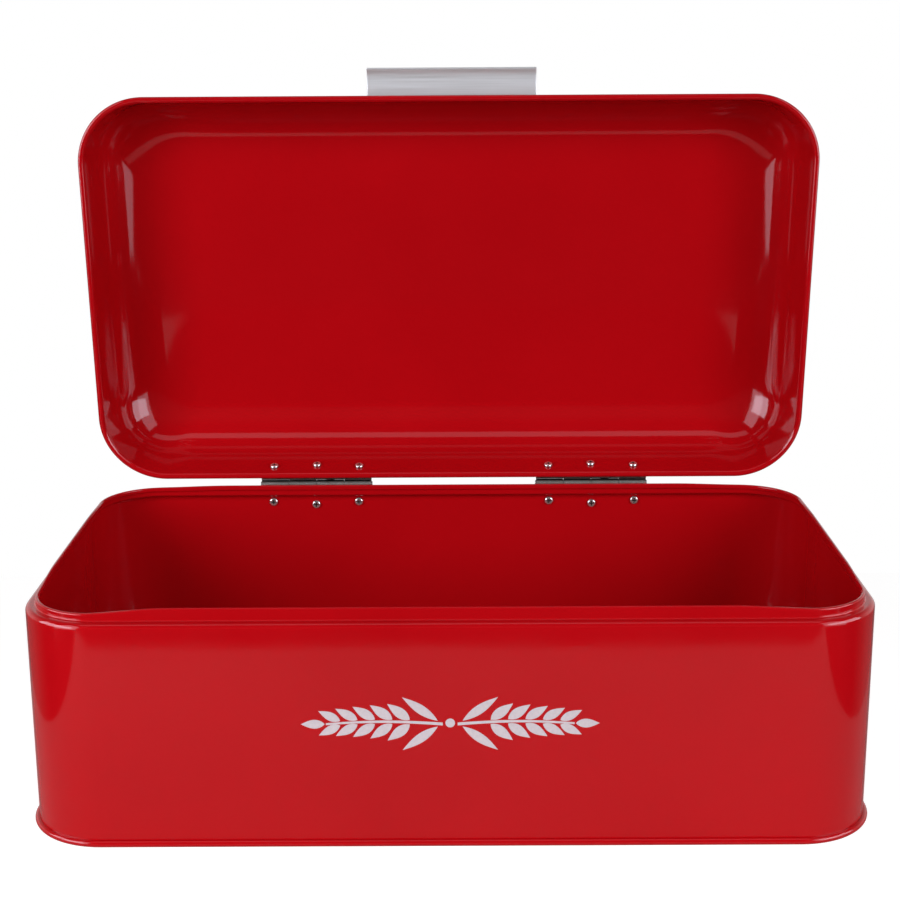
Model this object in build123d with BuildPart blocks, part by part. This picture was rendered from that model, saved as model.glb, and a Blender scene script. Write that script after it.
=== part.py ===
from build123d import *

import os
from math import cos, radians, sin, tan

# Bread box of painted sheet steel with a hinged lid, drawn with the lid standing open.
# Millimetres. The origin is the middle of the base on the surface it stands on.
# +X is to the right, the front faces -Y, the hinges are at +Y, and +Z is up.

# Body
box_width = 420.0
box_depth = 229.0
box_corner = 38.0
shoulder_height = 115.5
sheet = 0.6

# Rim of the body: a rounded shoulder, a ledge for the lid, and an upright neck with a hem
shoulder_radius = 2.4
ledge_width = 5.0
ledge_radius = 1.0
neck_height = 6.3
hem_gap = 0.7
hem_drop = 2.2
hem_radius = 0.6

# Base pan, rolled up around the flared foot of the wall
bead_height = 3.4
foot_flare = 0.9
foot_radius = 0.6
crimp_gap = 0.1
pan_ring_width = 3.0
pan_step_width = 3.0
pan_rise = 3.0
pan_step_radius = 1.0
pan_lap = 1.5

# Lid, as it lies when closed, with its rim flush with the body's wall
lid_corner = 39.0
lid_height = 48.0
lid_draft = 8.0
lid_seat_gap = 0.3
rim_width = 3.1
rim_root_radius = 1.2
rim_bead = 2.5
rim_curl_sweep = 250.0
panel_corner = 4.0
panel_lap = 1.0

# Hinges
open_angle = 84.0
pin_setback = 4.75
pin_rise = 4.2
pin_diameter = 3.0
pin_clearance = 0.05
pin_overhang = 0.5
pin_round = 0.4
hinge_spacing = 166.6
fittings_shift = 2.0
knuckle_length = 16.7
knuckle_count = 4
knuckle_gap = 0.3
notch_gap = 0.4
leaf_thickness = 1.0
leaf_bend_radius = 1.2
leaf_corner = 1.5
body_leaf_foot = 16.5
body_leaf_bend = 6.5
lid_leaf_bend = 4.0
lid_leaf_top = 14.5
stop_width = 5.0
stop_depth = 1.2
stop_rise = 1.6
stop_gap = 0.2

# Screws and nuts
screw_pitch = 25.8
screw_stagger = 1.7
body_screw_drop = 9.5
lid_screw_rise = 8.6
screw_diameter = 2.5
screw_tail = 1.2
hole_diameter = 2.8
head_diameter = 4.9
head_height = 1.7
head_round = 0.9
recess_length = 2.8
recess_width = 0.6
recess_depth = 0.9
nut_across_flats = 5.0
nut_height = 2.0
thread_clearance = 0.05

# Handle, a drawn aluminium pull stuck to the lid's front
handle_width = 95.0
handle_thickness = 1.0
handle_reach = 18.3
handle_height = 7.0
handle_flange = 12.0
handle_root_radius = 1.5
handle_lip_radius = 9.0
handle_lip_turn = 50.0
handle_end_round = 0.4
tape_thickness = 0.5
tape_width = 88.0
tape_margin = 1.5

# Places that several pieces share
half_width = box_width / 2
half_depth = box_depth / 2
neck_top = shoulder_height + neck_height
rim_height = shoulder_height + lid_seat_gap
pin_y = half_depth + pin_setback
pin_z = shoulder_height + pin_rise
bore_radius = pin_diameter / 2 + pin_clearance
knuckle_radius = bore_radius + leaf_thickness
hinge_length = knuckle_length * knuckle_count
hinge_places = {
    "left": fittings_shift - hinge_spacing / 2,
    "right": fittings_shift + hinge_spacing / 2,
}
screw_offsets = [(-screw_pitch, 0), (0, screw_stagger), (screw_pitch, 0)]
draft_sin = sin(radians(lid_draft))
draft_cos = cos(radians(lid_draft))

# The closed lid swings about the pin to its open place
lid_swing = Location((0, pin_y, pin_z), (-open_angle, 0, 0)) * Location((0, -pin_y, -pin_z))


def on_lid(plane):
    """Carry a plane of the closed lid to where it is when the lid stands open."""
    return Plane(lid_swing * plane.location)


def plan_path(plane, corner):
    """Outline of the box in plan, which starts and ends at the middle of its front edge."""
    with BuildLine(plane) as path:
        for side in (1, -1):
            FilletPolyline(
                (0, -side * half_depth),
                (side * half_width, -side * half_depth),
                (side * half_width, side * half_depth),
                (0, side * half_depth),
                radius=corner,
            )
    return path.wire()


def front_section(height):
    """Plane across the front edge: local x runs into the box and local y runs up."""
    return Plane(origin=(0, -half_depth, height), x_dir=(0, 1, 0), z_dir=(1, 0, 0))


def save(piece, name):
    """Label a finished piece and write it under its node's name."""
    piece.part.label = name
    export_step(piece.part, f"parts/{name}.step")


os.makedirs("parts", exist_ok=True)

# Planes that the hinges sit on. Local x is +X, local y runs up the wall, and local z points indoors.
body_back = Plane(origin=(0, half_depth, pin_z), x_dir=(1, 0, 0), z_dir=(0, -1, 0))

# The lid's wall stands on the inner edge of its rim and leans in by the draft
rim_line = sheet / 2
wall_lean = draft_sin / draft_cos
lid_wall_foot = rim_width - sheet / 2 / draft_cos - rim_line * wall_lean
lid_back_closed = Plane(
    origin=(0, half_depth - lid_wall_foot, rim_height),
    x_dir=(1, 0, 0),
    z_dir=(0, -draft_cos, -draft_sin),
)
lid_back = on_lid(lid_back_closed)
lid_front = on_lid(
    Plane(
        origin=(0, lid_wall_foot - half_depth, rim_height),
        x_dir=(-1, 0, 0),
        z_dir=(0, draft_cos, -draft_sin),
    )
)

# Screws of each hinge, in the planes above
body_places = {
    side: [(centre + dx, -body_screw_drop - dy) for dx, dy in screw_offsets]
    for side, centre in hinge_places.items()
}
lid_places = {
    side: [(centre + dx, lid_screw_rise + dy) for dx, dy in screw_offsets]
    for side, centre in hinge_places.items()
}

# Body wall: one sheet carried round the plan, from its flared foot to the hem of its neck
wall_line = sheet / 2
neck_line = ledge_width + sheet / 2
hem_line = neck_line + hem_gap + sheet
foot_line = sheet + sheet / 2
with BuildPart() as body_wall:
    with BuildSketch(front_section(0)):
        with BuildLine():
            FilletPolyline(
                (wall_line - foot_flare, foot_line),
                (wall_line, foot_line),
                (wall_line, shoulder_height - sheet / 2),
                (neck_line, shoulder_height - sheet / 2),
                (neck_line, neck_top - sheet / 2),
                (hem_line, neck_top - sheet / 2),
                (hem_line, neck_top - sheet / 2 - hem_drop),
                radius=[foot_radius, shoulder_radius, ledge_radius, hem_radius, hem_radius],
            )
        trace(line_width=sheet)
    sweep(path=plan_path(Plane.XY, box_corner))
    with BuildSketch(body_back):
        with Locations(*body_places["left"], *body_places["right"]):
            Circle(hole_diameter / 2)
    extrude(amount=sheet * 2, both=True, mode=Mode.SUBTRACT)
save(body_wall, "body_wall")

# Base pan: a raised floor, a flat ring to stand on, and a bead rolled over the wall's foot
bead_line = wall_line - foot_flare
bead_radius = (bead_height - sheet) / 2
ring_line = pan_ring_width
step_line = ring_line + pan_step_width
floor_line = sheet / 2 + pan_rise
with BuildPart() as base_pan:
    with BuildSketch(front_section(0)):
        with BuildLine():
            floor_edge = FilletPolyline(
                (step_line + pan_lap, floor_line),
                (step_line, floor_line),
                (ring_line, sheet / 2),
                (bead_line, sheet / 2),
                radius=pan_step_radius,
            )
            bead_arc = JernArc(floor_edge @ 1, (-1, 0), bead_radius, -180)
            Line(bead_arc @ 1, (-crimp_gap, bead_height - sheet / 2))
        trace(line_width=sheet)
    sweep(path=plan_path(Plane.XY, box_corner))
    with BuildSketch(Plane.XY.offset(floor_line - sheet / 2)):
        RectangleRounded(
            box_width - 2 * step_line, box_depth - 2 * step_line, box_corner - step_line
        )
    extrude(amount=sheet)
save(base_pan, "base_pan")

# Lid: rim turned out and curled up, leaning wall, wide crown and flat panel, drawn from one sheet
curl_radius = (rim_bead - sheet) / 2
curl_start = rim_bead / 2
panel_inset = lid_corner - panel_corner
panel_line = lid_height - sheet / 2
crown_corner = rim_width + (panel_line - rim_line) * wall_lean
crown_turn = radians(90 - lid_draft)
crown_radius = (panel_inset - panel_lap - crown_corner) / tan(crown_turn / 2)
lid_path = plan_path(on_lid(Plane.XY.offset(rim_height)), lid_corner)
with BuildPart() as lid_shell:
    with BuildSketch(on_lid(front_section(rim_height))):
        with BuildLine():
            FilletPolyline(
                (panel_inset, panel_line),
                (crown_corner, panel_line),
                (rim_width, rim_line),
                (curl_start, rim_line),
                radius=[crown_radius, rim_root_radius],
            )
            JernArc((curl_start, rim_line), (-1, 0), curl_radius, -rim_curl_sweep)
        trace(line_width=sheet)
    sweep(path=lid_path)
    with BuildSketch(on_lid(Plane.XY.offset(rim_height + lid_height - sheet))):
        RectangleRounded(
            box_width - 2 * (panel_inset - panel_lap),
            box_depth - 2 * (panel_inset - panel_lap),
            panel_corner + panel_lap,
        )
    extrude(amount=sheet)
    with BuildSketch(lid_back):
        with Locations(*lid_places["left"], *lid_places["right"]):
            Circle(hole_diameter / 2)
    extrude(amount=sheet * 2, both=True, mode=Mode.SUBTRACT)
save(lid_shell, "lid_shell")


def wall_plane(plane):
    """Keep a plane of the body where it is."""
    return plane


def knuckle_middles(centre, first):
    """Places along the pin of every second knuckle, counted from the given one."""
    start = centre - hinge_length / 2 + knuckle_length / 2
    return [start + n * knuckle_length for n in range(first, knuckle_count, 2)]


def pin_section(x):
    """Plane across the pin at x: local x runs back and local y runs up."""
    return Plane(origin=(x, pin_y, pin_z), x_dir=(0, 1, 0), z_dir=(1, 0, 0))


def bent_strip(wall, bend, start):
    """Points of a leaf's middle line across the pin: along the wall to its bend, and on to the pin."""
    points = [wall.from_local_coords((0, y, -leaf_thickness / 2)) for y in (start, bend)]
    return [(point.Y - pin_y, point.Z - pin_z) for point in points] + [(0, 0)]


def hinge_leaf(centre, first, wall, place, bend, end, holes):
    """Leaf of a hinge: a plate on the wall, bent out to the pin, with every second knuckle."""
    away = 1 if end > bend else -1
    plate_edge = bend + away * leaf_bend_radius
    strip = bent_strip(wall, bend, plate_edge + away * leaf_thickness)
    with BuildPart() as leaf:
        with BuildSketch(place(wall)):
            with Locations((centre, (plate_edge + end) / 2)):
                Rectangle(hinge_length, abs(end - plate_edge))
            fillet(vertices().sort_by(Axis.Y, reverse=end > bend)[:2], leaf_corner)
        extrude(amount=-leaf_thickness)
        with BuildSketch(place(pin_section(centre))):
            with BuildLine():
                FilletPolyline(*strip, radius=leaf_bend_radius)
            trace(line_width=leaf_thickness)
            Circle(knuckle_radius + notch_gap, mode=Mode.SUBTRACT)
        extrude(amount=hinge_length / 2, both=True)
        for x in knuckle_middles(centre, first):
            with BuildSketch(place(pin_section(x))):
                with BuildLine():
                    FilletPolyline(*strip, radius=leaf_bend_radius)
                trace(line_width=leaf_thickness)
                Circle(knuckle_radius)
                Circle(bore_radius, mode=Mode.SUBTRACT)
            extrude(amount=(knuckle_length - knuckle_gap) / 2, both=True)
        with BuildSketch(place(wall)):
            with Locations(*holes):
                Circle(hole_diameter / 2)
        extrude(amount=-leaf_thickness, mode=Mode.SUBTRACT)
    return leaf


def screw_set(wall, places):
    """Pan-head screws with crossed recesses, put through the wall and the leaf from indoors."""
    with BuildPart() as screws:
        with BuildSketch(wall.offset(sheet)):
            with Locations(*places):
                Circle(head_diameter / 2)
        extrude(amount=head_height)
        fillet(edges().group_by(Axis(wall.origin, wall.z_dir))[-1], head_round)
        with BuildSketch(wall.offset(sheet + head_height)):
            with Locations(*places):
                Rectangle(recess_length, recess_width)
                Rectangle(recess_width, recess_length)
        extrude(amount=-recess_depth, mode=Mode.SUBTRACT)
        with BuildSketch(wall.offset(sheet)):
            with Locations(*places):
                Circle(screw_diameter / 2)
        extrude(amount=-(sheet + leaf_thickness + nut_height + screw_tail))
    return screws


def nut_set(wall, places):
    """Hexagon nuts on the outer face of the leaf."""
    with BuildPart() as nuts:
        with BuildSketch(wall.offset(-leaf_thickness)):
            with Locations(*places):
                RegularPolygon(nut_across_flats / 2, 6, major_radius=False)
                Circle(screw_diameter / 2 + thread_clearance, mode=Mode.SUBTRACT)
        extrude(amount=-nut_height)
    return nuts


# Stop on one knuckle of the body's leaf, which the lid's leaf leans on when it is fully open.
# Its section is drawn across the pin with the closed lid's strip, and turns with the lid to where it stays.
lid_strip = Vector(*bent_strip(lid_back_closed, lid_leaf_bend, lid_leaf_bend)[0])
strip_turn = lid_strip.get_signed_angle(Vector(1, 0), Vector(0, 0, -1))
stop_reach = knuckle_radius + notch_gap + stop_rise
stop_offset = (leaf_thickness + stop_depth) / 2 + stop_gap

# Hinges: a leaf on the body, a leaf on the lid, the pin that joins them, and their fasteners
for side, centre in hinge_places.items():
    plain_leaf = hinge_leaf(
        centre, 0, body_back, wall_plane, -body_leaf_bend, -body_leaf_foot, body_places[side]
    )
    with BuildPart() as body_leaf:
        add(plain_leaf.part)
        with BuildSketch(on_lid(pin_section(knuckle_middles(centre, 0)[-1]))):
            with Locations(Location((0, 0, 0), (0, 0, strip_turn))):
                with Locations(((bore_radius + stop_reach) / 2, -stop_offset)):
                    Rectangle(stop_reach - bore_radius, stop_depth)
            Circle(knuckle_radius - leaf_thickness / 2, mode=Mode.SUBTRACT)
        extrude(amount=stop_width / 2, both=True)
    save(body_leaf, f"{side}_hinge_body_leaf")

    lid_leaf = hinge_leaf(
        centre, 1, lid_back_closed, on_lid, lid_leaf_bend, lid_leaf_top, lid_places[side]
    )
    save(lid_leaf, f"{side}_hinge_lid_leaf")

    with BuildPart() as pin:
        with BuildSketch(pin_section(centre)):
            Circle(pin_diameter / 2)
        extrude(amount=hinge_length / 2 + pin_overhang, both=True)
        fillet(edges().filter_by(GeomType.CIRCLE), pin_round)
    save(pin, f"{side}_hinge_pin")

    save(screw_set(body_back, body_places[side]), f"{side}_body_screws")
    save(nut_set(body_back, body_places[side]), f"{side}_body_nuts")
    save(screw_set(lid_back, lid_places[side]), f"{side}_lid_screws")
    save(nut_set(lid_back, lid_places[side]), f"{side}_lid_nuts")

# Handle: a flange against the lid, a shelf to lift by and a lip curved down at its edge
handle_back = tape_thickness + handle_thickness / 2
lip_start = handle_reach - (handle_lip_radius + handle_thickness / 2) * sin(radians(handle_lip_turn))
handle_section = on_lid(
    Plane(
        origin=(fittings_shift, lid_wall_foot - half_depth, rim_height),
        x_dir=(0, -draft_cos, draft_sin),
        z_dir=(-1, 0, 0),
    )
)
with BuildPart() as handle:
    with BuildSketch(handle_section):
        with BuildLine():
            shelf = FilletPolyline(
                (handle_back, handle_height + handle_flange),
                (handle_back, handle_height),
                (lip_start, handle_height),
                radius=handle_root_radius,
            )
            JernArc(shelf @ 1, (1, 0), handle_lip_radius, -handle_lip_turn)
        trace(line_width=handle_thickness)
        fillet(vertices().sort_by(Axis.X)[-2:], handle_end_round)
    extrude(amount=handle_width / 2, both=True)
save(handle, "handle")

# Adhesive tape that holds the handle's flange to the lid's front wall
tape_low = handle_height + handle_root_radius + tape_margin
tape_high = handle_height + handle_flange - tape_margin
with BuildPart() as tape:
    with BuildSketch(lid_front):
        with Locations((-fittings_shift, (tape_low + tape_high) / 2)):
            Rectangle(tape_width, tape_high - tape_low)
    extrude(amount=-tape_thickness)
save(tape, "handle_adhesive_strip")
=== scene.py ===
from cmath import exp, phase
from math import cos, degrees, pi, radians, sin, tan

import bmesh
import bpy
from mathutils import Matrix, Vector, noise


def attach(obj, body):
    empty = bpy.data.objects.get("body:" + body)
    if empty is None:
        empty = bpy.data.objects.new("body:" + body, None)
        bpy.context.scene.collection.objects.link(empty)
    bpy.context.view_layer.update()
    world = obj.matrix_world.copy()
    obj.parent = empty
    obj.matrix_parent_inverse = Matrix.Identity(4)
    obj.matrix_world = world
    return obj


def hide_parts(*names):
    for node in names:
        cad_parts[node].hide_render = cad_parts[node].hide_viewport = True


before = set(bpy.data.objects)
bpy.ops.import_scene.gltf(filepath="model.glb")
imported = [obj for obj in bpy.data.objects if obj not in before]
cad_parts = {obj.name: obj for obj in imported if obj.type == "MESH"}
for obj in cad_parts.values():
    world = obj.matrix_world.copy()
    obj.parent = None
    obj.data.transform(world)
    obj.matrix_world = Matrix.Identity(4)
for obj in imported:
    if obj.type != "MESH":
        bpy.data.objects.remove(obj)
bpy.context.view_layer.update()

# Bread box of painted sheet steel with its lid open, in millimetres, which each mesh turns into metres
MM = 0.001
HALF_WIDTH = 210.0
HALF_DEPTH = 114.5
BOX_CORNER = 38.0
LID_CORNER = 39.0
SHEET = 0.6
SHOULDER = 115.5
NECK_TOP = 121.8
RIM_PLANE = 115.8
PIN = (119.25, 119.7)
OPEN_ANGLE = radians(84)
DRAFT = radians(8)
FITTINGS_SHIFT = 2.0

# How finely the sheets are drawn
LONG_STEPS = 70
SHORT_STEPS = 36
CORNER_STEPS = 36
RING = 2 * LONG_STEPS + 2 * SHORT_STEPS + 4 * CORNER_STEPS
BACK_START = LONG_STEPS + SHORT_STEPS + 2 * CORNER_STEPS
STRAIGHT_STEP = 6.0
EDGE_STEP = 0.3
EDGED_LENGTH = 4 * EDGE_STEP
ARC_STEP = 9.0
ARC_LENGTH = 1.6
CAP_STEPS = 4
SAME_POINT = 1e-6

# Corners in plan, and how fast the lid's grow rounder from a given inset on
TIGHTEST_CORNER = 0.4
ROUNDEST_SHARE = 0.8
WIDEN_FROM = 4.3
WIDEN_BLEND = 4.0
LID_WIDEN = 0.796


# Lines in a section, as complex numbers: the real part runs into the box and the imaginary part up


def straight(a, b):
    """Points from a to b with their heading, closer together at both ends."""
    length = abs(b - a)
    way = (b - a) / length
    marks = {0.0, length}
    if length > EDGED_LENGTH:
        count = max(round(length / STRAIGHT_STEP), 1)
        marks |= {EDGE_STEP, length - EDGE_STEP}
        marks |= {length * k / count for k in range(1, count)}
    return [(a + way * m, way) for m in sorted(marks)]


def arc(a, way, radius, turn):
    """Points with headings on an arc that leaves a along way; a positive turn is to the left."""
    centre = a + way * radius * (1j if turn > 0 else -1j)
    length = radius * radians(abs(turn))
    count = max(round(abs(turn) / ARC_STEP), round(length / ARC_LENGTH), 2)
    spins = [exp(1j * radians(turn) * k / count) for k in range(count + 1)]
    return [(centre + (a - centre) * spin, way * spin) for spin in spins]


def rounded(corners, radii):
    """Line through the corners, with each inner corner turned by its radius."""
    line = []
    start = corners[0]
    for before, here, after, radius in zip(corners, corners[1:], corners[2:], radii):
        way_in = (here - before) / abs(here - before)
        way_out = (after - here) / abs(after - here)
        bend = phase(way_out / way_in)
        reach = radius * tan(abs(bend) / 2)
        line += straight(start, here - way_in * reach)
        line += arc(here - way_in * reach, way_in, radius, degrees(bend))
        start = here + way_out * reach
    return line + straight(start, corners[-1])


def cap(end, way, half):
    """Rounded end of a sheet, from its left side to its right side."""
    spins = [exp(-1j * pi * k / CAP_STEPS) for k in range(1, CAP_STEPS)]
    return [end + 1j * way * half * spin for spin in spins]


def sides(line, thickness):
    """Both sides of a sheet drawn along a line, joined by its rounded far end; and its rounded near end."""
    half = thickness / 2
    clean = [line[0]]
    for point, way in line[1:]:
        if abs(point - clean[-1][0]) > SAME_POINT:
            clean.append((point, way))
    left = [point + 1j * way * half for point, way in clean]
    right = [point - 1j * way * half for point, way in reversed(clean)]
    first, first_way = clean[0]
    return left + cap(*clean[-1], half) + right, cap(first, -first_way, half)


# Meshes


def smoothstep(low, high, value):
    """Smooth rise from 0 at low to 1 at high."""
    t = min(max((value - low) / (high - low), 0.0), 1.0)
    return t * t * (3 - 2 * t)


def plan_ring(inset, corner, widen):
    """Outline of the box in plan, moved in, from the left end of its front edge round by the right.

    A widened corner is rounder than a plain inset makes it, but only further in than the neck reaches.
    """
    past = max(inset - WIDEN_FROM, 0.0)
    past = past**2 / WIDEN_BLEND / 2 if past < WIDEN_BLEND else past - WIDEN_BLEND / 2
    radius = min(corner - inset + widen * past, ROUNDEST_SHARE * (HALF_DEPTH - inset))
    radius = max(radius, TIGHTEST_CORNER)
    x = HALF_WIDTH - inset - radius
    y = HALF_DEPTH - inset - radius
    ring = []
    for turn, (cx, cy), length, steps in (
        (-90, (x, -y), 2 * x, LONG_STEPS),
        (0, (x, y), 2 * y, SHORT_STEPS),
        (90, (-x, y), 2 * x, LONG_STEPS),
        (180, (-x, -y), 2 * y, SHORT_STEPS),
    ):
        out_x, out_y = cos(radians(turn)), sin(radians(turn))
        end_x, end_y = cx + radius * out_x, cy + radius * out_y
        for k in range(steps):
            left = length * (1 - k / steps)
            ring.append((end_x + out_y * left, end_y - out_x * left))
        for k in range(CORNER_STEPS):
            a = radians(turn + 90 * k / CORNER_STEPS)
            ring.append((cx + radius * cos(a), cy + radius * sin(a)))
    return ring


def stay(x, y, z):
    """Keep a place on the body where it is."""
    return x, y, z


def swing(x, y, z):
    """Carry a place on the closed lid to where it is when the lid stands open."""
    dy, dz = y - PIN[0], z - PIN[1]
    return (
        x,
        PIN[0] + cos(OPEN_ANGLE) * dy + sin(OPEN_ANGLE) * dz,
        PIN[1] - sin(OPEN_ANGLE) * dy + cos(OPEN_ANGLE) * dz,
    )


def close_panel(first, places, faces):
    """Fill the ring that starts at first: rungs between its long sides and a fan at each of its ends."""
    for k in range(LONG_STEPS):
        far = BACK_START + LONG_STEPS - k
        faces.append((first + k, first + k + 1, first + far - 1, first + far))
    for start, end in ((LONG_STEPS, BACK_START), (BACK_START + LONG_STEPS, RING)):
        edge = [first + n % RING for n in range(start, end + 1)]
        faces += [(a, b, len(places)) for a, b in zip(edge, edge[1:] + edge[:1])]
        places.append([sum(places[n][axis] for n in edge) / len(edge) for axis in range(3)])


def swept(loop, corner, closed, place, shape, widen=0.0):
    """Places and faces of a section carried round the plan; an open section has its ends filled in."""
    places = []
    for point in loop:
        for x, y in plan_ring(point.real, corner, widen):
            places.append(place(*shape(x, y, point.real, point.imag)))
    faces = []
    count = len(loop)
    for n in range(count if closed else count - 1):
        here, then = n * RING, (n + 1) % count * RING
        for k in range(RING):
            j = (k + 1) % RING
            faces.append((here + k, here + j, then + j, then + k))
    if not closed:
        close_panel(0, places, faces)
        close_panel((count - 1) * RING, places, faces)
    return places, faces


def mesh_object(name, places, faces, body, finish, slot):
    """Closed, smooth mesh from places in millimetres."""
    data = bpy.data.meshes.new(name)
    data.from_pydata([(x * MM, y * MM, z * MM) for x, y, z in places], [], faces)
    build = bmesh.new()
    build.from_mesh(data)
    bmesh.ops.recalc_face_normals(build, faces=build.faces)
    build.to_mesh(data)
    build.free()
    data.shade_smooth()
    data.materials.append(finish)
    piece = bpy.data.objects.new(name, data)
    bpy.context.scene.collection.objects.link(piece)
    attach(piece, body)
    return piece


# Slow unevenness of the pressed sheets
WAVE_SHIFT = Vector((3.7, 1.9, 8.3))


def waves(x, y, z, length):
    """Unevenness from about -1 to 1 whose waves have the given length."""
    return noise.noise(Vector((x, y, z)) / length + WAVE_SHIFT)


# Finishes, with lengths in metres and grains in features per metre
NOISE_LOW, NOISE_HIGH = 0.3, 0.7
MIX_FACTOR, MIX_ONE, MIX_TWO, MIX_COLOUR = 0, 6, 7, 2
# Painted shade in recesses: its colour, and the occlusion at which it is full and at which it is gone
RECESS_SHADE = (0.012, 0.011, 0.010)
RECESS_SHADE_FULL_AT = 0.50
RECESS_SHADE_GONE_AT = 0.92


def bare_tree(made):
    """Emptied node tree of a new material or world."""
    made.use_nodes = True
    made.node_tree.nodes.clear()
    return made.node_tree


def finish_nodes(name):
    """New material, its node tree and its shader."""
    made = bpy.data.materials.new(name)
    tree = bare_tree(made)
    out = tree.nodes.new("ShaderNodeOutputMaterial")
    shader = tree.nodes.new("ShaderNodeBsdfPrincipled")
    tree.links.new(shader.outputs["BSDF"], out.inputs["Surface"])
    return made, tree, shader


def add_node(tree, kind, **values):
    """New node with its sockets set by name."""
    node = tree.nodes.new(kind)
    for key, value in values.items():
        node.inputs[key.replace("_", " ")].default_value = value
    return node


def noise_of(tree, scale, detail, stretch=(1, 1, 1)):
    """Noise in the object's own place."""
    where = tree.nodes.new("ShaderNodeTexCoord")
    mapping = add_node(tree, "ShaderNodeMapping", Scale=stretch)
    cloud = add_node(tree, "ShaderNodeTexNoise", Scale=scale, Detail=detail)
    tree.links.new(where.outputs["Object"], mapping.inputs["Vector"])
    tree.links.new(mapping.outputs["Vector"], cloud.inputs["Vector"])
    return cloud.outputs["Fac"]


def ramp(tree, source, low, high, start, end):
    """Value that runs from start to end while the source runs from low to high."""
    spread = add_node(tree, "ShaderNodeMapRange", From_Min=low, From_Max=high, To_Min=start, To_Max=end)
    tree.links.new(source, spread.inputs["Value"])
    return spread.outputs["Result"]


def ranged(tree, cloud, start=0.0, end=1.0):
    """Value that runs from start to end over the usual range of a noise."""
    return ramp(tree, cloud, NOISE_LOW, NOISE_HIGH, start, end)


def mixed(tree, source, one, two):
    """Colour from one to two by a source from 0 to 1; each is a fixed colour or comes from a node."""
    blend = tree.nodes.new("ShaderNodeMix")
    blend.data_type = "RGBA"
    tree.links.new(source, blend.inputs[MIX_FACTOR])
    for end, colour in ((MIX_ONE, one), (MIX_TWO, two)):
        if isinstance(colour, tuple):
            blend.inputs[end].default_value = (*colour, 1)
        else:
            tree.links.new(colour, blend.inputs[end])
    return blend.outputs[MIX_COLOUR]


def shaded_in_recesses(tree, colour, reach):
    """Colour with painted shade that turns it dark in recesses narrower than the reach, where ambient
    occlusion finds them.
    """
    nook = add_node(tree, "ShaderNodeAmbientOcclusion", Distance=reach)
    clean = ramp(tree, nook.outputs["AO"], RECESS_SHADE_FULL_AT, RECESS_SHADE_GONE_AT, 0.0, 1.0)
    return mixed(tree, clean, RECESS_SHADE, colour)


def bumped(tree, source, depth, shader):
    """Small relief of a given depth."""
    bump = add_node(tree, "ShaderNodeBump", Strength=1.0, Distance=depth)
    tree.links.new(source, bump.inputs["Height"])
    tree.links.new(bump.outputs["Normal"], shader.inputs["Normal"])


def enamel(name, one, two, rough, gloss, relief):
    """Gloss coating with a little orange peel."""
    made, tree, shader = finish_nodes(name)
    tone = ranged(tree, noise_of(tree, scale=9.0, detail=4.0))
    tree.links.new(mixed(tree, tone, one, two), shader.inputs["Base Color"])
    patches = noise_of(tree, scale=60.0, detail=3.0)
    tree.links.new(ranged(tree, patches, *rough), shader.inputs["Roughness"])
    shader.inputs["IOR"].default_value = gloss
    bumped(tree, noise_of(tree, scale=330.0, detail=2.0), relief, shader)
    return made


def metal(name, colour, dark, rough, grain, stretch, relief, metallic, recess_shade_reach=0.0):
    """Metal with a grain in its tone, roughness and surface, and with painted shade darkening its recesses.
    """
    made, tree, shader = finish_nodes(name)
    lines = noise_of(tree, grain, detail=3.0, stretch=stretch)
    tone = mixed(tree, ranged(tree, lines), dark, colour)
    # Painted shade darkens the tone in recesses
    if recess_shade_reach:
        tone = shaded_in_recesses(tree, tone, recess_shade_reach)
    tree.links.new(tone, shader.inputs["Base Color"])
    tree.links.new(ranged(tree, lines, *rough), shader.inputs["Roughness"])
    shader.inputs["Metallic"].default_value = metallic
    bumped(tree, lines, relief, shader)
    return made


def coated(name, one, two, rough, grain, relief):
    """Plain print or foam with a mottled tone."""
    made, tree, shader = finish_nodes(name)
    cloud = noise_of(tree, grain, detail=4.0)
    tree.links.new(mixed(tree, ranged(tree, cloud), one, two), shader.inputs["Base Color"])
    tree.links.new(ranged(tree, cloud, *rough), shader.inputs["Roughness"])
    bumped(tree, cloud, relief, shader)
    return made


RED = enamel(
    "red_gloss_enamel",
    one=(0.42, 0.0021, 0.0050),
    two=(0.46, 0.0027, 0.0060),
    rough=(0.06, 0.09),
    gloss=1.45,
    relief=9e-6,
)
STEEL = metal(
    "plated_hinge_steel",
    colour=(0.78, 0.76, 0.73),
    dark=(0.62, 0.60, 0.57),
    rough=(0.18, 0.26),
    grain=700.0,
    stretch=(0.2, 1, 1),
    relief=1e-6,
    metallic=0.75,
    # Painted shade in the hinge's gaps and recesses narrower than 7 mm
    recess_shade_reach=0.007,
)
ZINC = metal(
    "bright_zinc_plate",
    colour=(0.88, 0.87, 0.85),
    dark=(0.74, 0.73, 0.72),
    rough=(0.16, 0.24),
    grain=900.0,
    stretch=(1, 1, 1),
    relief=3e-6,
    metallic=0.85,
    # Painted shade in recesses of the screws and nuts narrower than 1.8 mm
    recess_shade_reach=0.0018,
)
ALUMINIUM = metal(
    "satin_aluminium",
    colour=(0.70, 0.70, 0.715),
    dark=(0.62, 0.62, 0.63),
    rough=(0.36, 0.46),
    grain=500.0,
    stretch=(0.04, 3, 3),
    relief=2e-6,
    metallic=0.5,
)
FOAM = coated(
    "grey_foam_tape",
    one=(0.02, 0.02, 0.022),
    two=(0.05, 0.05, 0.055),
    rough=(0.8, 0.95),
    grain=1500.0,
    relief=5e-5,
)
PRINT = coated(
    "pale_print",
    one=(0.56, 0.50, 0.55),
    two=(0.62, 0.56, 0.60),
    rough=(0.30, 0.42),
    grain=700.0,
    relief=2e-6,
)

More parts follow.
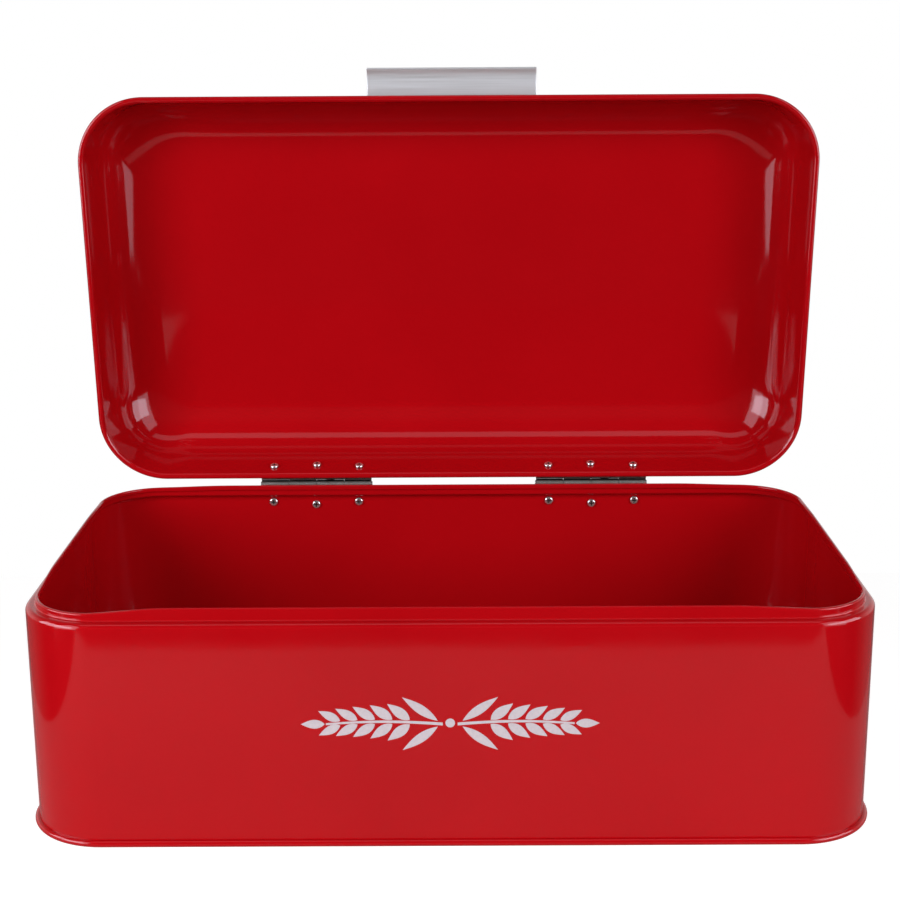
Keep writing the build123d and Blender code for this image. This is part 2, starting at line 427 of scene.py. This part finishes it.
for node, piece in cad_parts.items():
    piece.data.materials.clear()
    if "hinge" in node:
        piece.data.materials.append(STEEL)
    elif "screws" in node or "nuts" in node:
        piece.data.materials.append(ZINC)
    elif node == "handle_adhesive_strip":
        piece.data.materials.append(FOAM)
    elif node == "handle":
        piece.data.materials.append(ALUMINIUM)
    else:
        piece.data.materials.append(RED)

# Body wall, with a neck that sinks a little at the corners and sides that aren't quite flat
FOOT_FLARE = 0.9
NECK_INSET = 5.0
HEM_GAP = 0.7
HEM_DEPTH = 2.2
FOOT_BEND = 0.6
SHOULDER_RADIUS = 2.4
LEDGE_BEND = 1.0
HEM_BEND = 0.6
NECK_DIPS = {(-1, -1): 2.6, (1, -1): 1.7, (-1, 1): 1.0, (1, 1): 1.0}
DIP_RANGE = (-38.0, 6.0)
WALL_WAVE = 0.10
WALL_WAVE_LENGTH = 90.0
STIFF_EDGE = 4.0
STIFF_BLEND = 40.0
STIFF_CORNER = (-50.0, -5.0)
LONG_SIDE_BAND = 3.0
wall_middle = SHEET / 2
foot_height = 1.5 * SHEET
ledge_height = SHOULDER - SHEET / 2
neck_middle = NECK_INSET + SHEET / 2
neck_height = NECK_TOP - SHEET / 2
hem_middle = NECK_INSET + HEM_GAP + 1.5 * SHEET
wall_line = rounded(
    [
        complex(wall_middle - FOOT_FLARE, foot_height),
        complex(wall_middle, foot_height),
        complex(wall_middle, ledge_height),
        complex(neck_middle, ledge_height),
        complex(neck_middle, neck_height),
        complex(hem_middle, neck_height),
        complex(hem_middle, neck_height - HEM_DEPTH),
    ],
    [FOOT_BEND, SHOULDER_RADIUS, LEDGE_BEND, HEM_BEND, HEM_BEND],
)


def body_shape(x, y, inset, height):
    """Wall with slow waves and a neck that dips where it turns the corners."""
    corner = min(abs(x) - HALF_WIDTH + BOX_CORNER, abs(y) - HALF_DEPTH + BOX_CORNER)
    dip = NECK_DIPS[(1 if x > 0 else -1, 1 if y > 0 else -1)] * smoothstep(*DIP_RANGE, corner)
    sunk = height - dip * smoothstep(SHOULDER, NECK_TOP, height)
    loose = smoothstep(STIFF_EDGE, STIFF_BLEND, height)
    loose *= 1 - smoothstep(SHOULDER - STIFF_BLEND, SHOULDER - STIFF_EDGE, height)
    loose *= 1 - smoothstep(*STIFF_CORNER, corner)
    wave = WALL_WAVE * loose * waves(x, y, height, WALL_WAVE_LENGTH)
    if abs(y) > HALF_DEPTH - LONG_SIDE_BAND:
        return x, y + wave, sunk
    return x + wave, y, sunk


wall_loop, wall_cap = sides(wall_line, SHEET)
body_wall = mesh_object(
    "body_wall_sheet",
    *swept(wall_loop + wall_cap, BOX_CORNER, True, stay, body_shape),
    "box",
    RED,
    "red_enamel",
)
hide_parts("body_wall")

# Base pan, with its bead rolled over the wall's foot
PANEL_MIDDLE = 113.0
PAN_FLOOR = 3.3
PAN_STEP_TOP = 6.0
PAN_STEP_FOOT = 3.0
PAN_BEND = 1.0
BEAD_START = -0.6
BEAD_RADIUS = 1.4
BEAD_SWEEP = 180
BEAD_END = -0.1
PAN_WAVE = 0.15
PAN_WAVE_LENGTH = 80.0
PAN_WAVE_LAYER = 0.0
PAN_LOOSE = (8.0, 40.0)
pan_foot = SHEET / 2
bead_top = pan_foot + 2 * BEAD_RADIUS
pan_line = rounded(
    [
        complex(PANEL_MIDDLE, PAN_FLOOR),
        complex(PAN_STEP_TOP, PAN_FLOOR),
        complex(PAN_STEP_FOOT, pan_foot),
        complex(BEAD_START, pan_foot),
    ],
    [PAN_BEND, PAN_BEND],
)
pan_line += arc(complex(BEAD_START, pan_foot), complex(-1, 0), BEAD_RADIUS, -BEAD_SWEEP)
pan_line += straight(complex(BEAD_START, bead_top), complex(BEAD_END, bead_top))


def pan_shape(x, y, inset, height):
    """Floor of the pan with slow waves."""
    wave = PAN_WAVE * smoothstep(*PAN_LOOSE, inset) * waves(x, y, PAN_WAVE_LAYER, PAN_WAVE_LENGTH)
    return x, y, height + wave


base_pan = mesh_object(
    "base_pan_sheet",
    *swept(sides(pan_line, SHEET)[0], BOX_CORNER, False, stay, pan_shape),
    "box",
    RED,
    "red_enamel",
)
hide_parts("base_pan")

# Lid: panel, crown, leaning wall, and a rim that is turned out and curled up
RIM_WIDTH = 3.1
RIM_ROOT = 2.0
CURL_START = 1.25
CURL_RADIUS = 0.95
CURL_SWEEP = 250
PANEL_HEIGHT = 47.7
PANEL_EDGE = 34.0
LID_WAVE = 0.18
LID_WAVE_LENGTH = 100.0
LID_WAVE_LAYER = 5.0
LID_LOOSE = (36.0, 60.0)
rim_middle = SHEET / 2
crown_corner = RIM_WIDTH + (PANEL_HEIGHT - rim_middle) * tan(DRAFT)
crown_radius = (PANEL_EDGE - crown_corner) / tan((pi / 2 - DRAFT) / 2)
lid_line = rounded(
    [
        complex(PANEL_MIDDLE, PANEL_HEIGHT),
        complex(crown_corner, PANEL_HEIGHT),
        complex(RIM_WIDTH, rim_middle),
        complex(CURL_START, rim_middle),
    ],
    [crown_radius, RIM_ROOT],
)
lid_line += arc(complex(CURL_START, rim_middle), complex(-1, 0), CURL_RADIUS, -CURL_SWEEP)


def lid_shape(x, y, inset, height):
    """Panel with slow waves, at its place above the closed rim."""
    wave = LID_WAVE * smoothstep(*LID_LOOSE, inset) * waves(x, y, LID_WAVE_LAYER, LID_WAVE_LENGTH)
    return x, y, RIM_PLANE + height + wave


lid_shell = mesh_object(
    "lid_sheet",
    *swept(sides(lid_line, SHEET)[0], LID_CORNER, False, swing, lid_shape, LID_WIDEN),
    "lid",
    RED,
    "red_enamel",
)
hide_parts("lid_shell")

# Handle: a thin strip bent out to a shelf, with a lip that curves down and thinner ends
HANDLE_HALF = 47.5
HANDLE_SHEET = 1.0
HANDLE_HEIGHT = 7.0
HANDLE_REACH = 18.3
HANDLE_BEND = 1.5
HANDLE_STEP = 2.0
HANDLE_END = 0.2
END_MARKS = (1, 2, 5)
FLANGE_MIDDLE = 1.0
FLANGE_TOP = 18.5
LIP_RADIUS = 9.0
LIP_TURN = 50
lip_reach = (LIP_RADIUS + HANDLE_SHEET / 2) * sin(radians(LIP_TURN))
lip_start = complex(HANDLE_REACH - lip_reach, HANDLE_HEIGHT)
lip_sweep = LIP_TURN - degrees(HANDLE_SHEET / 2 / LIP_RADIUS)
handle_line = rounded(
    [complex(FLANGE_MIDDLE, FLANGE_TOP), complex(FLANGE_MIDDLE, HANDLE_HEIGHT), lip_start], [HANDLE_BEND]
)
handle_line += arc(lip_start, complex(1, 0), LIP_RADIUS, -lip_sweep)
lid_foot = RIM_WIDTH - SHEET / 2 / cos(DRAFT) - SHEET / 2 * tan(DRAFT)


def handle_loop(thickness):
    """Section of the strip with both its ends rounded."""
    loop, near_end = sides(handle_line, thickness)
    return loop + near_end


def on_handle(along, point):
    """Place on the handle: along the lid, out from its front wall, and up that wall."""
    y = lid_foot - HALF_DEPTH - point.real * cos(DRAFT) + point.imag * sin(DRAFT)
    z = RIM_PLANE + point.real * sin(DRAFT) + point.imag * cos(DRAFT)
    return swing(FITTINGS_SHIFT + along, y, z)


full_loop = handle_loop(HANDLE_SHEET)
thin_loop = handle_loop(HANDLE_SHEET - 2 * HANDLE_END)
handle_marks = {HANDLE_HALF - HANDLE_END * n for n in END_MARKS}
handle_marks |= {HANDLE_STEP * k for k in range(int(HANDLE_HALF / HANDLE_STEP) + 1)}
handle_marks |= {-mark for mark in handle_marks}
handle_rows = [(-HANDLE_HALF, thin_loop)]
handle_rows += [(mark, full_loop) for mark in sorted(handle_marks)]
handle_rows.append((HANDLE_HALF, thin_loop))
handle_places = [on_handle(along, point) for along, loop in handle_rows for point in loop]
row_size = len(full_loop)
last_row = len(handle_places) - row_size
handle_faces = [
    (row + k, row + (k + 1) % row_size, row + row_size + (k + 1) % row_size, row + row_size + k)
    for row in range(0, last_row, row_size)
    for k in range(row_size)
]
handle_faces += [list(range(row_size)), list(range(last_row, last_row + row_size))]
handle = mesh_object("handle_strip", handle_places, handle_faces, "lid", ALUMINIUM, "brushed_aluminium")
for end in list(handle.data.polygons)[-2:]:
    end.use_smooth = False
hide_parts("handle")

# Print on the front: two ears of wheat that lie outwards from a knot in the middle
PRINT_MIDDLE = 64.6
PRINT_PROUD = 0.05
PRINT_SUNK = 0.03
KNOT_RADIUS = 2.3
KNOT_STEPS = 28
STEM_START = 3.6
STEM_END = 60.0
STEM_STEPS = 24
STEM_HALF = 0.75
STEM_TAPER = 0.25
STEM_SWAY = 1.6
STEM_SWAY_LENGTH = 66.0
LEAF_PLACE = 6.0
LEAF_OFF = 1.5
LEAF_TURN = 0.62
LEAF_LENGTH = 21.0
LEAF_WIDTH = 4.6
LEAF_FULLNESS = 0.9
GRAIN_STEPS = 14
GRAIN_PAIRS = 5
GRAIN_PLACE = 19.5
GRAIN_PITCH = 8.4
GRAIN_OFF = 1.15
GRAIN_TURN = 0.66
GRAIN_TURN_LESS = 0.05
GRAIN_LENGTH = 13.6
GRAIN_LENGTH_LESS = 0.5
GRAIN_WIDTH = 5.2
GRAIN_WIDTH_LESS = 0.2
GRAIN_FULLNESS = 0.8
TIP_GAP = 0.6
TIP_LENGTH = 11.5
TIP_WIDTH = 4.6


def pointed(base, way, length, width, fullness):
    """Outline of a grain or leaf with both ends pointed, from its base along its way."""
    marks = [k / GRAIN_STEPS for k in range(1, GRAIN_STEPS)]
    upper = [complex(length * t, width / 2 * sin(pi * t**fullness)) for t in marks]
    line = [0j] + upper + [complex(length, 0)] + [point.conjugate() for point in reversed(upper)]
    return [base + way * point for point in line]


def stem_at(along):
    """Middle of a stem at a distance from the middle of the print."""
    return complex(along, STEM_SWAY * (sin(pi * along / STEM_SWAY_LENGTH) - 0.5))


def stem():
    """Outline of a stem that thins towards its end: out along its lower edge and back along its upper one."""
    lower, upper = [], []
    for k in range(STEM_STEPS + 1):
        share = k / STEM_STEPS
        middle = stem_at(STEM_START + (STEM_END - STEM_START) * share)
        half = STEM_HALF - STEM_TAPER * share
        lower.append(middle - half * 1j)
        upper.append(middle + half * 1j)
    return lower + upper[::-1]


def ear():
    """Outlines of one ear: its stem, its leaves, and grains in pairs up to the one at its tip."""
    shapes = [stem()]
    for side in (1, -1):
        base = stem_at(LEAF_PLACE) + side * LEAF_OFF * 1j
        shapes.append(pointed(base, exp(side * LEAF_TURN * 1j), LEAF_LENGTH, LEAF_WIDTH, LEAF_FULLNESS))
        for k in range(GRAIN_PAIRS):
            base = stem_at(GRAIN_PLACE + GRAIN_PITCH * k) + side * GRAIN_OFF * 1j
            way = exp(side * (GRAIN_TURN - GRAIN_TURN_LESS * k) * 1j)
            length = GRAIN_LENGTH - GRAIN_LENGTH_LESS * k
            width = GRAIN_WIDTH - GRAIN_WIDTH_LESS * k
            shapes.append(pointed(base, way, length, width, GRAIN_FULLNESS))
    shapes.append(pointed(stem_at(STEM_END) + TIP_GAP, 1 + 0j, TIP_LENGTH, TIP_WIDTH, GRAIN_FULLNESS))
    return shapes


def print_place(point, proud):
    """Place on the front of the body wall, which isn't quite flat."""
    x, y, z = body_shape(point.real, -HALF_DEPTH, 0.0, PRINT_MIDDLE + point.imag)
    return x, y - proud, z


print_places = []
print_faces = []
knot = [KNOT_RADIUS * exp(2j * pi * k / KNOT_STEPS) for k in range(KNOT_STEPS)]
right_ear = ear()
left_ear = [[complex(-point.real, point.imag) for point in shape] for shape in right_ear]
for shape in [knot] + right_ear + left_ear:
    first, count = len(print_places), len(shape)
    print_places += [print_place(point, PRINT_PROUD) for point in shape]
    print_places += [print_place(point, -PRINT_SUNK) for point in shape]
    for k in range(count):
        j = (k + 1) % count
        print_faces.append((first + k, first + j, first + count + j, first + count + k))
    if shape in (right_ear[0], left_ear[0]):
        for k in range(STEM_STEPS):
            rung = (k, k + 1, count - 2 - k, count - 1 - k)
            print_faces += [[first + n for n in rung], [first + count + n for n in rung]]
    else:
        print_faces += [list(range(first, first + count)), list(range(first + count, first + 2 * count))]
wheat = mesh_object("front_wheat_print", print_places, print_faces, "box", PRINT, None)
wheat.data.shade_flat()

# Lights, in metres: softboxes that show in the gloss, and keys and cards that light the box
SIDES = {"left": -1, "right": 1}
SOFTBOX_TINT = (0.97, 1.0, 1.14)
SOFTBOX_GAIN = {"left": 1.38, "right": 1.06}
SOFTBOX_PLACE = (0.8, -0.79, 0.515)
SOFTBOX_SIZE = (0.82, 1.27)
SOFTBOX_LEVEL = 1.9
CORE_PLACE = (0.795, -0.50, 0.33)
CORE_SIZE = (0.9, 0.46)
CORE_LEVEL = 4.5
KEY_PLACE = (0.90, -0.96, 0.66)
KEY_AIM = (0.0, 0.0, 0.12)
KEY_SIZE = (0.65, 0.8)
KEY_LEVEL = {"left": 7.4, "right": 6.7}
CARD_PLACE = (0.60, -0.45, 0.15)
CARD_AIM = (0.2, -0.1, 0.06)
CARD_SIZE = (0.4, 0.3)
CARD_LEVEL = {"left": 2.7, "right": 1.5}
TOP_PLACE = (0.0, -0.29, 1.25)
TOP_AIM = (0.0, -0.29, 0.0)
TOP_SIZE = (1.2, 0.40)
TOP_SHOWN_LEVEL = 0.80
TOP_LIT_LEVEL = 0.65


def area_light(name, place, aim, size, level, shows):
    """Bright face of the given level, which either shows in reflections or lights the object."""
    width, height = size
    data = bpy.data.lights.new(name, "AREA")
    data.shape = "RECTANGLE"
    data.size = width
    data.size_y = height
    data.energy = level * width * height * pi
    if shows:
        data.color = SOFTBOX_TINT
    lamp = bpy.data.objects.new(name, data)
    lamp.location = place
    lamp.rotation_euler = (Vector(aim) - Vector(place)).to_track_quat("-Z", "Y").to_euler()
    lamp.visible_glossy = shows
    lamp.visible_diffuse = not shows
    bpy.context.scene.collection.objects.link(lamp)


def on_side(side, place):
    """Place on the given side of the box."""
    x, y, z = place
    return SIDES[side] * x, y, z


def level_with(place):
    """Place in the middle plane of the box that a side light faces squarely."""
    return 0.0, *place[1:]


for side, gain in SOFTBOX_GAIN.items():
    place = on_side(side, SOFTBOX_PLACE)
    area_light(f"softbox_{side}", place, level_with(place), SOFTBOX_SIZE, SOFTBOX_LEVEL * gain, True)
    place = on_side(side, CORE_PLACE)
    area_light(f"softbox_core_{side}", place, level_with(place), CORE_SIZE, CORE_LEVEL * gain, True)
    area_light(f"key_{side}", on_side(side, KEY_PLACE), KEY_AIM, KEY_SIZE, KEY_LEVEL[side], False)
    place, aim = on_side(side, CARD_PLACE), on_side(side, CARD_AIM)
    area_light(f"card_{side}", place, aim, CARD_SIZE, CARD_LEVEL[side], False)
area_light("softbox_top", TOP_PLACE, TOP_AIM, TOP_SIZE, TOP_SHOWN_LEVEL, True)
area_light("key_top", TOP_PLACE, TOP_AIM, TOP_SIZE, TOP_LIT_LEVEL, False)

# White table, in metres
TABLE_SIDE, TABLE_FRONT, TABLE_BACK = 0.345, -0.385, 0.30
TABLE_LIT = (0.7, 0.7, 0.7, 1)
TABLE_MIRRORED = (0.45, 0.45, 0.45, 1)
TABLE_SHOWN = (0.3, 0.3, 0.3, 1)
TABLE_LIFT = 0.88
WHITE = (1, 1, 1, 1)


def chosen(tree, ray, otherwise, then):
    """Shader that is the second one for the given kind of ray and the first one for others."""
    choice = tree.nodes.new("ShaderNodeMixShader")
    tree.links.new(ray, choice.inputs[0])
    tree.links.new(otherwise.outputs[0], choice.inputs[1])
    tree.links.new(then.outputs[0], choice.inputs[2])
    return choice


def table_finish():
    """White table that the camera sees as bright as the room behind it."""
    made = bpy.data.materials.new("white_table")
    tree = bare_tree(made)
    out = tree.nodes.new("ShaderNodeOutputMaterial")
    lit = add_node(tree, "ShaderNodeBsdfDiffuse", Color=TABLE_LIT)
    mirrored = add_node(tree, "ShaderNodeBsdfDiffuse", Color=TABLE_MIRRORED)
    pale = add_node(tree, "ShaderNodeBsdfDiffuse", Color=TABLE_SHOWN)
    lift = add_node(tree, "ShaderNodeEmission", Color=WHITE, Strength=TABLE_LIFT)
    shown = tree.nodes.new("ShaderNodeAddShader")
    tree.links.new(pale.outputs[0], shown.inputs[0])
    tree.links.new(lift.outputs[0], shown.inputs[1])
    ray = tree.nodes.new("ShaderNodeLightPath")
    unseen = chosen(tree, ray.outputs["Is Glossy Ray"], lit, mirrored)
    seen = chosen(tree, ray.outputs["Is Camera Ray"], unseen, shown)
    tree.links.new(seen.outputs[0], out.inputs["Surface"])
    return made


table_data = bpy.data.meshes.new("table")
table_data.from_pydata(
    [
        (-TABLE_SIDE, TABLE_FRONT, 0),
        (TABLE_SIDE, TABLE_FRONT, 0),
        (TABLE_SIDE, TABLE_BACK, 0),
        (-TABLE_SIDE, TABLE_BACK, 0),
    ],
    [],
    [(0, 1, 2, 3)],
)
table_data.materials.append(table_finish())
table = bpy.data.objects.new("table", table_data)
bpy.context.scene.collection.objects.link(table)

# Room: white behind the table, dim towards the camera, and dark below and overhead
ROOM_BACK = (-0.05, 0.40, 0.05, 0.95)
ROOM_LOW = (-0.25, 0.0, 0.15, 1.0)
ROOM_HIGH = (0.3, 0.6, 1.0, 0.12)


def product(tree, one, two):
    """One value times another."""
    times = tree.nodes.new("ShaderNodeMath")
    times.operation = "MULTIPLY"
    tree.links.new(one, times.inputs[0])
    tree.links.new(two, times.inputs[1])
    return times.outputs[0]


def room_world():
    """Room that the camera sees as plain white; each ramp has two directions and the levels there."""
    made = bpy.data.worlds.new("room")
    tree = bare_tree(made)
    out = tree.nodes.new("ShaderNodeOutputWorld")
    where = tree.nodes.new("ShaderNodeTexCoord")
    parts = tree.nodes.new("ShaderNodeSeparateXYZ")
    tree.links.new(where.outputs["Generated"], parts.inputs[0])
    back = ramp(tree, parts.outputs["Y"], *ROOM_BACK)
    low = ramp(tree, parts.outputs["Z"], *ROOM_LOW)
    high = ramp(tree, parts.outputs["Z"], *ROOM_HIGH)
    lit = add_node(tree, "ShaderNodeBackground", Color=WHITE)
    tree.links.new(product(tree, back, product(tree, low, high)), lit.inputs["Strength"])
    shown = add_node(tree, "ShaderNodeBackground", Color=WHITE, Strength=1.0)
    ray = tree.nodes.new("ShaderNodeLightPath")
    seen = chosen(tree, ray.outputs["Is Camera Ray"], lit, shown)
    tree.links.new(seen.outputs[0], out.inputs["Surface"])
    return made


bpy.context.scene.world = room_world()

# Camera, in metres
CAMERA_PLACE = (0.003473, -0.871266, 0.394881)
YAW, PITCH, ROLL = radians(-0.211), radians(14.406), radians(-0.340)
LENS = 67.62
SENSOR = 36.0
NEAREST = 0.01
ahead = Vector((sin(YAW) * cos(PITCH), cos(YAW) * cos(PITCH), -sin(PITCH)))
sideways = Vector((cos(YAW), -sin(YAW), 0))
above = sideways.cross(ahead)
across = sideways * cos(ROLL) + above * sin(ROLL)
upward = above * cos(ROLL) - sideways * sin(ROLL)
camera_data = bpy.data.cameras.new("camera")
camera_data.lens = LENS
camera_data.sensor_width = SENSOR
camera_data.clip_start = NEAREST
camera = bpy.data.objects.new("camera", camera_data)
facing = Matrix((across, upward, -ahead)).transposed().to_4x4()
camera.matrix_world = Matrix.Translation(CAMERA_PLACE) @ facing
bpy.context.scene.collection.objects.link(camera)
bpy.context.scene.camera = camera
bpy.context.scene.view_settings.view_transform = "Standard"
